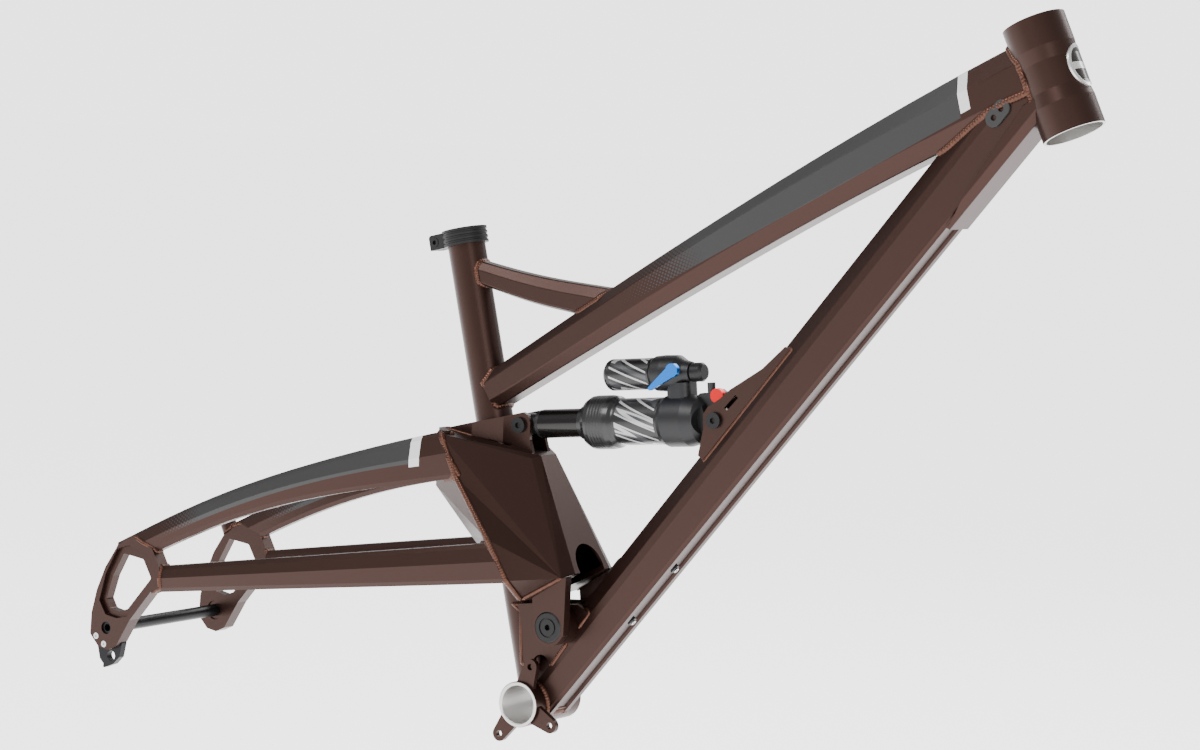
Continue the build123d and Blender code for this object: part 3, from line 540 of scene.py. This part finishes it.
def badge_graph() -> Graph:
    """An oval badge: a silver rim, a dark field and a plain band across it."""
    graph = Graph("badge")
    axis = Vector((-math.cos(math.radians(64.5)), 0.0, math.sin(math.radians(64.5))))
    centre = Vector((0.511, 0.0, 0.542)) + axis * 0.05
    tall, wide = graph.dot(axis, centre) / 0.019, graph.dot((0, 1, 0)) / 0.0135
    reach = (tall * tall + wide * wide) ** 0.5
    rim = reach.ramp(0.82, 0.84)
    band = (abs(tall) < 0.16) & (reach < 0.82)
    tone = graph.mix(rim | band, colour(38, 32, 30), colour(206, 205, 204))
    graph.set(base_color=tone, metallic=0.75, roughness=graph.noise(400.0) * 0.08 + 0.24, coat_weight=0.5)
    return graph.bump((rim | band) * 1.0, 0.0003, 0.6)


def can_graph() -> Graph:
    """The shock's black sleeve and reservoir, with plain grey facets printed round them."""
    graph = Graph("shock_sleeve")
    start = Vector((-0.0252, 0.0, 0.2524))
    run = (Vector((0.1836, 0.0, 0.2756)) - start).normalized()
    up = Vector((-run.z, 0.0, run.x))
    along, climb, side = graph.dot(run, start), graph.dot(up, start), graph.dot((0, 1, 0))
    zig = abs((side / 0.026).fract() - 0.5) * 2.0
    rise = abs(((climb + along * 0.4) / 0.019).fract() - 0.5) * 2.0
    sleeve = (along > 0.108) & (along < 0.150) & (climb < 0.0235)
    tank = (along > 0.100) & (along < 0.140) & (climb > 0.0265)
    strokes = (abs(rise - 0.45) < 0.09) | (abs(zig * 0.6 + rise * 0.5 - 0.72) < 0.07)
    field = (rise * 0.7 + zig * 0.4).ramp(0.55, 0.62)
    mask = strokes & (sleeve | tank)
    shade = field & (sleeve | tank)
    tone = graph.mix(shade, colour(22, 22, 24), colour(64, 64, 67))
    tone = graph.mix(mask, tone, colour(168, 168, 170))
    ridge = ((along - 0.077) / 0.0032).fract()
    grip = (along > 0.079) & (along < 0.097) & (climb < 0.026)
    graph.set(base_color=tone, metallic=0.2, roughness=graph.noise(300.0) * 0.06 + 0.27 + grip * 0.12,
              coat_weight=0.25, coat_roughness=0.12)
    return graph.bump(abs(ridge - 0.5) * grip * 2.0, 0.0004, 0.5)


class Wardrobe:
    """Every finish, made once and handed to the CAD nodes and the weld beads."""

    PANELS = {"top_tube": TOP_DECAL, "upper_stay_right": STAY_DECAL, "upper_stay_left": STAY_DECAL}

    def __init__(self) -> None:
        self.paint = paint_graph("frame_paint").material
        self.bead = bead_graph().material
        self.plain = {slot: finish.build(slot.value).material for slot, finish in PLAIN.items()}
        special: dict[Slot, Callable[[], Graph]] = {Slot.BARE: bare_graph, Slot.BADGE: badge_graph,
                                                    Slot.CAN: can_graph}
        self.plain.update({slot: make().material for slot, make in special.items()})
        self.plain[Slot.PAINT] = self.paint
        self.own = {node: paint_graph(f"paint_{node}", decal).material for node,
                    decal in self.PANELS.items()}
        self.own["head_tube"] = head_tube_graph().material

    def dress(self, nodes: dict[str, bpy.types.Object], subparts: Iterable[dict]) -> None:
        """Puts a finish on every CAD node.

        Args:
            nodes: The CAD nodes by name.
            subparts: The record's node and slot pairs.
        """
        for part in subparts:
            mesh = nodes[part["node"]].data
            mesh.materials.clear()
            mesh.materials.append(self.own.get(part["node"], self.plain[Slot(part["material_slot"])]))


# ---------------------------------------------------------------- weld beads
@dataclass(frozen=True)
class Weld:
    """A bead along the joint where one tube ends on another.

    Attributes:
        name: The bead's name.
        cut: The CAD node that ends on the other.
        onto: The CAD node it ends on.
        body: The body both belong to.
        width: The bead's width in millimetres.
        pitch: Distance between ripples in millimetres.
        least: The shortest run worth a bead, in millimetres.
    """

    name: str
    cut: str
    onto: str
    body: Body
    width: float = 6.0
    pitch: float = 2.2
    least: float = 18.0


def both(name: str, cut: str, onto: str, body: Body, **sizes: float) -> list[Weld]:
    """The same weld on the right and on the left; a star in a node's name stands for the side."""
    return [Weld(f"{name}_{side}", cut.replace("*", side), onto.replace("*", side), body, **sizes)
            for side in ("right", "left")]


FRONT_WELDS = [
    Weld("weld_top_tube_head", "top_tube", "head_tube", Body.FRONT, 7.0, 2.6),
    Weld("weld_down_tube_head", "down_tube", "head_tube", Body.FRONT, 7.0, 2.6),
    Weld("weld_top_tube_down_tube", "top_tube", "down_tube", Body.FRONT, 7.5, 3.2),
    Weld("weld_gusset_down_tube", "head_gusset", "down_tube", Body.FRONT, 5.0, 2.0),
    Weld("weld_top_tube_seat_tube", "top_tube", "seat_tube", Body.FRONT, 6.0, 2.4),
    Weld("weld_brace_seat_tube", "seat_tube_brace", "seat_tube", Body.FRONT, 5.5, 2.2),
    Weld("weld_brace_top_tube", "seat_tube_brace", "top_tube", Body.FRONT, 5.5, 2.2),
    Weld("weld_down_tube_shell", "down_tube", "bb_shell", Body.FRONT, 6.5, 2.6),
    Weld("weld_seat_tube_shell", "seat_tube", "bb_shell", Body.FRONT, 6.0, 2.4),
    Weld("weld_shock_bracket_down_tube", "shock_bracket_front", "down_tube", Body.FRONT, 3.6, 1.8),
    *both("weld_pivot_gusset_seat_tube", "pivot_gusset_*", "seat_tube", Body.FRONT, width=5.0, pitch=2.0),
    *both("weld_pivot_gusset_down_tube", "pivot_gusset_*", "down_tube", Body.FRONT, width=4.2, pitch=2.0),
]
SWINGARM_WELDS = [
    *both("weld_upper_stay_yoke", "upper_stay_*", "yoke", Body.SWINGARM, width=6.0, pitch=2.2),
    *both("weld_chainstay_yoke", "chainstay_*", "yoke", Body.SWINGARM, width=6.0, pitch=2.2),
    *both("weld_pivot_ear_yoke", "pivot_ear_*", "yoke", Body.SWINGARM, width=4.0, pitch=1.8),
    *both("weld_shock_bracket_yoke", "shock_bracket_*", "yoke", Body.SWINGARM, width=3.0, pitch=1.6),
    *both("weld_upper_stay_dropout", "upper_stay_*", "dropout_*", Body.SWINGARM, width=4.6, pitch=2.0,
          least=10.0),
    *both("weld_chainstay_dropout", "chainstay_*", "dropout_*", Body.SWINGARM, width=4.6, pitch=2.0,
          least=10.0),
    Weld("weld_brake_post_stay", "brake_mount", "upper_stay_left", Body.SWINGARM, 3.0, 1.6, 8.0),
]


@dataclass
class Run:
    """One continuous stretch of joint: points with the direction that faces out of the corner."""

    points: list[Vector]
    outward: list[Vector]
    closed: bool

    @property
    def length(self) -> float:
        """The run's length in metres."""
        total = sum((b - a).length for a, b in zip(self.points, self.points[1:]))
        return total + ((self.points[0] - self.points[-1]).length if self.closed else 0.0)

    def resampled(self, step: float) -> "Run":
        """The same run with evenly spaced, smoothed points.

        Args:
            step: The wanted spacing in metres.

        Returns:
            A new run.
        """
        points, outward = list(self.points), list(self.outward)
        if self.closed:
            points.append(points[0])
            outward.append(outward[0])
        spans = [(b - a).length for a, b in zip(points, points[1:])]
        total = sum(spans)
        count = max(int(total / step), 4)
        made: list[Vector] = []
        facing: list[Vector] = []
        index, behind = 0, 0.0
        for i in range(count if self.closed else count + 1):
            target = total * i / count
            while index < len(spans) - 1 and behind + spans[index] < target:
                behind += spans[index]
                index += 1
            share = (target - behind) / spans[index] if spans[index] else 0.0
            made.append(points[index].lerp(points[index + 1], min(share, 1.0)))
            facing.append(outward[index].lerp(outward[index + 1], min(share, 1.0)))
        run = Run(made, facing, self.closed)
        for _ in range(4):
            run.soften()
        return run

    def soften(self) -> None:
        """One pass of smoothing over points and directions."""
        size = len(self.points)
        ends = (0, size - 1)

        def smooth(values: list[Vector], weight: float) -> list[Vector]:
            out = []
            for i, value in enumerate(values):
                if not self.closed and i in ends:
                    out.append(value.copy())
                    continue
                middle = (values[i - 1] + values[(i + 1) % size]) / 2
                out.append(value.lerp(middle, weight))
            return out

        self.points = smooth(self.points, 0.5)
        self.outward = smooth(self.outward, 0.9)


@dataclass(frozen=True)
class Ridge:
    """A bead along an open edge, where folded plates meet.

    Attributes:
        name: The bead's name.
        body: The body it belongs to.
        corners: The edge's corners in millimetres.
        middle: A point inside the piece, in millimetres, that the bead faces away from.
        width: The bead's width in millimetres.
        pitch: Distance between ripples in millimetres.
    """

    name: str
    body: Body
    corners: tuple[tuple[float, float, float], ...]
    middle: tuple[float, float, float]
    width: float = 6.0
    pitch: float = 2.4

    def run(self) -> Run:
        """The edge as a run of joint."""
        points = [Vector(corner) * MM for corner in self.corners]
        middle = Vector(self.middle) * MM
        return Run(points, [(point - middle).normalized() for point in points], False)


YOKE_REAR = ((-74.5, 68.0, 243.0), (-56.0, 69.0, 206.5), (-13.0, 76.0, 154.0), (7.0, 72.0, 118.0),
             (6.0, 46.0, 98.0))
YOKE_FOOT = ((6.0, 46.0, 98.0), (46.5, 42.0, 122.0))
RIDGES = [
    Ridge(f"weld_yoke_{part}_{side}", Body.SWINGARM, tuple((x, sign * y, z) for x, y, z in corners),
          (-10.0, sign * 10.0, 165.0), width)
    for side, sign in (("right", -1), ("left", 1))
    for part, corners, width in (("rear", YOKE_REAR, 6.0), ("foot", YOKE_FOOT, 5.5))
]


class Seam:
    """Finds where one CAD node ends on another, from their meshes."""

    NEAR = 0.00030

    def __init__(self, cut: bpy.types.Object, onto: bpy.types.Object) -> None:
        self.mesh = self._welded(cut)
        other = self._welded(onto)
        self.tree = BVHTree.FromBMesh(other)
        self.own = BVHTree.FromBMesh(self.mesh)
        other.free()

    @staticmethod
    def _welded(source: bpy.types.Object) -> bmesh.types.BMesh:
        """A copy of a node's mesh with its split vertices joined."""
        mesh = bmesh.new()
        mesh.from_mesh(source.data)
        bmesh.ops.remove_doubles(mesh, verts=mesh.verts, dist=1e-6)
        mesh.faces.ensure_lookup_table()
        mesh.normal_update()
        return mesh

    def _touches(self, face: bmesh.types.BMFace) -> bool:
        """Whether a face lies on the other node."""
        spots = [face.calc_center_median(), *[v.co for v in face.verts]]
        for spot in spots:
            found = self.tree.find_nearest(spot, 0.003)
            if found[0] is None or found[3] > self.NEAR:
                return False
        return True

    def _outside(self, spot: Vector, normal: Vector) -> bool:
        """Whether a spot is on the cut node's outer skin and not in its hollow."""
        hit = self.own.ray_cast(spot + normal * 0.0006, normal, 0.075)
        return hit[0] is None

    def runs(self) -> list[Run]:
        """The joint as continuous runs of points.

        Returns:
            Every outer run, longest first.
        """
        touching = {face for face in self.mesh.faces if self._touches(face)}
        links: dict[bmesh.types.BMVert, list[bmesh.types.BMVert]] = {}
        facing: dict[bmesh.types.BMVert, Vector] = {}
        for edge in self.mesh.edges:
            sides = [face in touching for face in edge.link_faces]
            if len(sides) != 2 or sides[0] == sides[1]:
                continue
            free = edge.link_faces[sides.index(False)]
            middle = (edge.verts[0].co + edge.verts[1].co) / 2
            if not self._outside(middle, free.normal):
                continue
            found = self.tree.find_nearest(middle, 0.003)
            lean = free.normal + (found[1] if found[0] is not None else free.normal)
            for vert, mate in (edge.verts, reversed(edge.verts)):
                links.setdefault(vert, []).append(mate)
                facing[vert] = facing.get(vert, Vector()) + lean
        made = self._chained(links, facing)
        self.mesh.free()
        return sorted(made, key=lambda run: -run.length)

    @staticmethod
    def _chained(links: dict, facing: dict) -> list[Run]:
        """Strings linked vertices into runs."""
        made = []
        waiting = set(links)
        while waiting:
            ends = [v for v in waiting if len(links[v]) == 1]
            start = min(ends or waiting, key=lambda v: v.index)
            chain = [start]
            waiting.discard(start)
            here = start
            while True:
                ahead = [v for v in links[here] if v in waiting]
                if not ahead:
                    break
                here = ahead[0]
                waiting.discard(here)
                chain.append(here)
            closed = len(chain) > 3 and start in links[here]
            out = [facing[v].normalized() if facing[v].length > 1e-6 else Vector((0, 0, 1)) for v in chain]
            made.append(Run([v.co.copy() for v in chain], out, closed))
        return made


class BeadMaker:
    """Lays rippled beads along runs of joint."""

    SIDES = 9

    def __init__(self, material: bpy.types.Material, seed: int = 7) -> None:
        self.material = material
        self.chance = random.Random(seed)

    def lay(self, weld: Weld, nodes: dict[str, bpy.types.Object]) -> Optional[bpy.types.Object]:
        """Makes one weld's bead.

        Args:
            weld: Which joint.
            nodes: The CAD nodes.

        Returns:
            The bead, or None where the two nodes don't meet.
        """
        runs = [run for run in Seam(nodes[weld.cut],
                                    nodes[weld.onto]).runs() if run.length > weld.least * MM]
        if not runs:
            LOG.warning("%s has no joint to follow", weld.name)
            return None
        return self.bead(weld, runs)

    def bead(self, weld: Union[Weld, Ridge], runs: Sequence[Run]) -> bpy.types.Object:
        """Makes one bead over its runs.

        Args:
            weld: Its name, body and sizes.
            runs: The stretches it covers.

        Returns:
            The bead.
        """
        mesh = bmesh.new()
        step = weld.pitch * MM / 4
        for run in runs:
            self._sweep(mesh, run.resampled(step), weld)
        bmesh.ops.recalc_face_normals(mesh, faces=mesh.faces)
        data = bpy.data.meshes.new(weld.name)
        mesh.to_mesh(data)
        mesh.free()
        data.shade_smooth()
        data.materials.append(self.material)
        bead = bpy.data.objects.new(weld.name, data)
        bpy.context.scene.collection.objects.link(bead)
        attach(bead, weld.body.value)
        return bead

    def _sweep(self, mesh: bmesh.types.BMesh, run: Run, weld: Union[Weld, Ridge]) -> None:
        """Adds one bead to a mesh."""
        size = len(run.points)
        half, rise = weld.width * MM / 2, weld.width * MM * BEAD_RISE
        phase, rings = 0.0, []
        beat = 1.0
        for i, point in enumerate(run.points):
            ahead = run.points[(i + 1) % size] if run.closed or i + 1 < size else point
            back = run.points[i - 1] if run.closed or i else point
            tangent = (ahead - back).normalized()
            out = run.outward[i] - tangent * run.outward[i].dot(tangent)
            out = out.normalized() if out.length > 1e-6 else tangent.orthogonal().normalized()
            across = tangent.cross(out).normalized()
            phase += (point - back).length / (weld.pitch * MM)
            if phase >= 1.0:
                phase -= 1.0
                beat = self.chance.uniform(0.93, 1.07)
            ripple = (RIPPLE_LOW + RIPPLE_SWING * math.sin(math.pi * phase) ** 0.7) * beat
            ends = min(i, size - 1 - i) / 6 if not run.closed else 1.0
            taper = min(1.0, 0.35 + 0.65 * ends)
            ring = []
            for k in range(self.SIDES):
                turn = 2 * math.pi * k / self.SIDES
                lift = math.sin(turn)
                spot = (point + across * (math.cos(turn) * half * taper * (0.94 + 0.06 * ripple))
                        + out * (lift * rise * ripple * taper)
                        + tangent * (max(lift, 0.0) * half * 0.35))
                ring.append(mesh.verts.new(spot))
            rings.append(ring)
        pairs = list(zip(rings, rings[1:])) + ([(rings[-1], rings[0])] if run.closed else [])
        for first, second in pairs:
            for k in range(self.SIDES):
                n = (k + 1) % self.SIDES
                mesh.faces.new((first[k], first[n], second[n], second[k]))
        if not run.closed:
            mesh.faces.new(rings[0])
            mesh.faces.new(tuple(reversed(rings[-1])))


# ---------------------------------------------------------------- studio
@dataclass(frozen=True)
class Lamp:
    """A rectangular soft light.

    Attributes:
        name: The light's name.
        place: Where it hangs, in metres.
        aim: What it points at.
        size: Its width and height in metres.
        power: Its power in watts.
    """

    name: str
    place: tuple[float, float, float]
    aim: tuple[float, float, float]
    size: tuple[float, float]
    power: float

    def hang(self) -> None:
        """Adds the light to the scene."""
        data = bpy.data.lights.new(self.name, "AREA")
        data.shape, data.energy = "RECTANGLE", self.power
        data.size, data.size_y = self.size
        lamp = bpy.data.objects.new(self.name, data)
        lamp.location = self.place
        lamp.rotation_mode = "QUATERNION"
        lamp.rotation_quaternion = (Vector(self.aim) - Vector(self.place)).to_track_quat("-Z", "Y")
        bpy.context.scene.collection.objects.link(lamp)


class Studio:
    """A plain pale room with soft lights and one camera."""

    LAMPS = (
        Lamp("key_light", (-0.5, -1.9, 2.3), (0.0, 0.0, 0.25), (2.2, 1.0), 70.0),
        Lamp("fill_light", (2.3, -1.6, 0.5), (0.1, 0.0, 0.3), (1.2, 1.6), 18.0),
        Lamp("back_light", (0.2, 2.2, 1.9), (0.0, 0.0, 0.3), (2.6, 1.2), 50.0),
    )
    FLOOR_DROP = 0.30
    FLOOR_GLOW = 2.2
    SKY_LIGHT = 0.7
    SKY_SEEN = 2.9

    def build(self) -> None:
        """Sets up the floor, the world, the lights and the camera."""
        low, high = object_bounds()
        self._floor(low.z - self.FLOOR_DROP)
        world = bpy.data.worlds.new("studio")
        world.use_nodes = True
        sky = world.node_tree.nodes["Background"]
        sky.inputs["Color"].default_value = (1.0, 1.0, 1.0, 1.0)
        path = world.node_tree.nodes.new("ShaderNodeLightPath")
        level = world.node_tree.nodes.new("ShaderNodeMapRange")
        level.inputs["To Min"].default_value = self.SKY_LIGHT
        level.inputs["To Max"].default_value = self.SKY_SEEN
        world.node_tree.links.new(path.outputs["Is Camera Ray"], level.inputs["Value"])
        world.node_tree.links.new(level.outputs["Result"], sky.inputs["Strength"])
        bpy.context.scene.world = world
        for lamp in self.LAMPS:
            lamp.hang()
        self._camera()

    def _floor(self, height: float) -> None:
        """A large pale floor under the object."""
        mesh = bmesh.new()
        bmesh.ops.create_grid(mesh, x_segments=1, y_segments=1, size=30.0,
                              matrix=Matrix.Translation((0, 0, height)))
        data = bpy.data.meshes.new("floor")
        mesh.to_mesh(data)
        mesh.free()
        graph = Graph("floor")
        graph.set(base_color=(0.93, 0.93, 0.93, 1.0), roughness=0.9,
                  emission_color=(1.0, 1.0, 1.0, 1.0), emission_strength=self.FLOOR_GLOW)
        data.materials.append(graph.material)
        floor = bpy.data.objects.new("floor", data)
        bpy.context.scene.collection.objects.link(floor)
        floor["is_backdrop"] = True

    @staticmethod
    def _camera() -> None:
        """A long lens at the bike's right, a little ahead of it and just above."""
        data = bpy.data.cameras.new("camera")
        data.sensor_width, data.lens = SENSOR_WIDTH, LENS
        data.clip_start, data.clip_end = 0.05, 100.0
        camera = bpy.data.objects.new("camera", data)
        heading, pitch, roll = (math.radians(angle) for angle in CAMERA_ANGLES)
        ahead = Vector((-math.sin(heading) * math.cos(pitch), math.cos(heading) * math.cos(pitch),
                        math.sin(pitch)))
        side = ahead.cross(Vector((0, 0, 1))).normalized()
        top = side.cross(ahead)
        right = side * math.cos(roll) + top * math.sin(roll)
        top = right.cross(ahead)
        camera.matrix_world = Matrix((
            (right.x, top.x, -ahead.x, CAMERA_PLACE[0]), (right.y, top.y, -ahead.y, CAMERA_PLACE[1]),
            (right.z, top.z, -ahead.z, CAMERA_PLACE[2]), (0, 0, 0, 1)))
        bpy.context.scene.collection.objects.link(camera)
        bpy.context.scene.camera = camera


class BicycleFrame:
    """The dressed frame: CAD nodes with their finishes, and the beads between them."""

    def __init__(self, frame: dict) -> None:
        self.nodes: dict[str, bpy.types.Object] = frame["nodes"]
        self.record: dict = frame["record"]
        self.wardrobe = Wardrobe()

    def build(self) -> None:
        """Dresses the nodes and lays every weld."""
        self.wardrobe.dress(self.nodes, self.record["subparts"])
        maker = BeadMaker(self.wardrobe.bead)
        for weld in (*FRONT_WELDS, *SWINGARM_WELDS):
            maker.lay(weld, self.nodes)
        for ridge in RIDGES:
            maker.bead(ridge, [ridge.run()])


def main() -> None:
    """Builds the scene."""
    logging.basicConfig(level=logging.INFO, format="%(name)s: %(message)s")
    for leftover in list(bpy.data.objects):
        bpy.data.objects.remove(leftover, do_unlink=True)
    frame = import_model()
    BicycleFrame(frame).build()
    Studio().build()


if __name__ == "__main__":
    main()
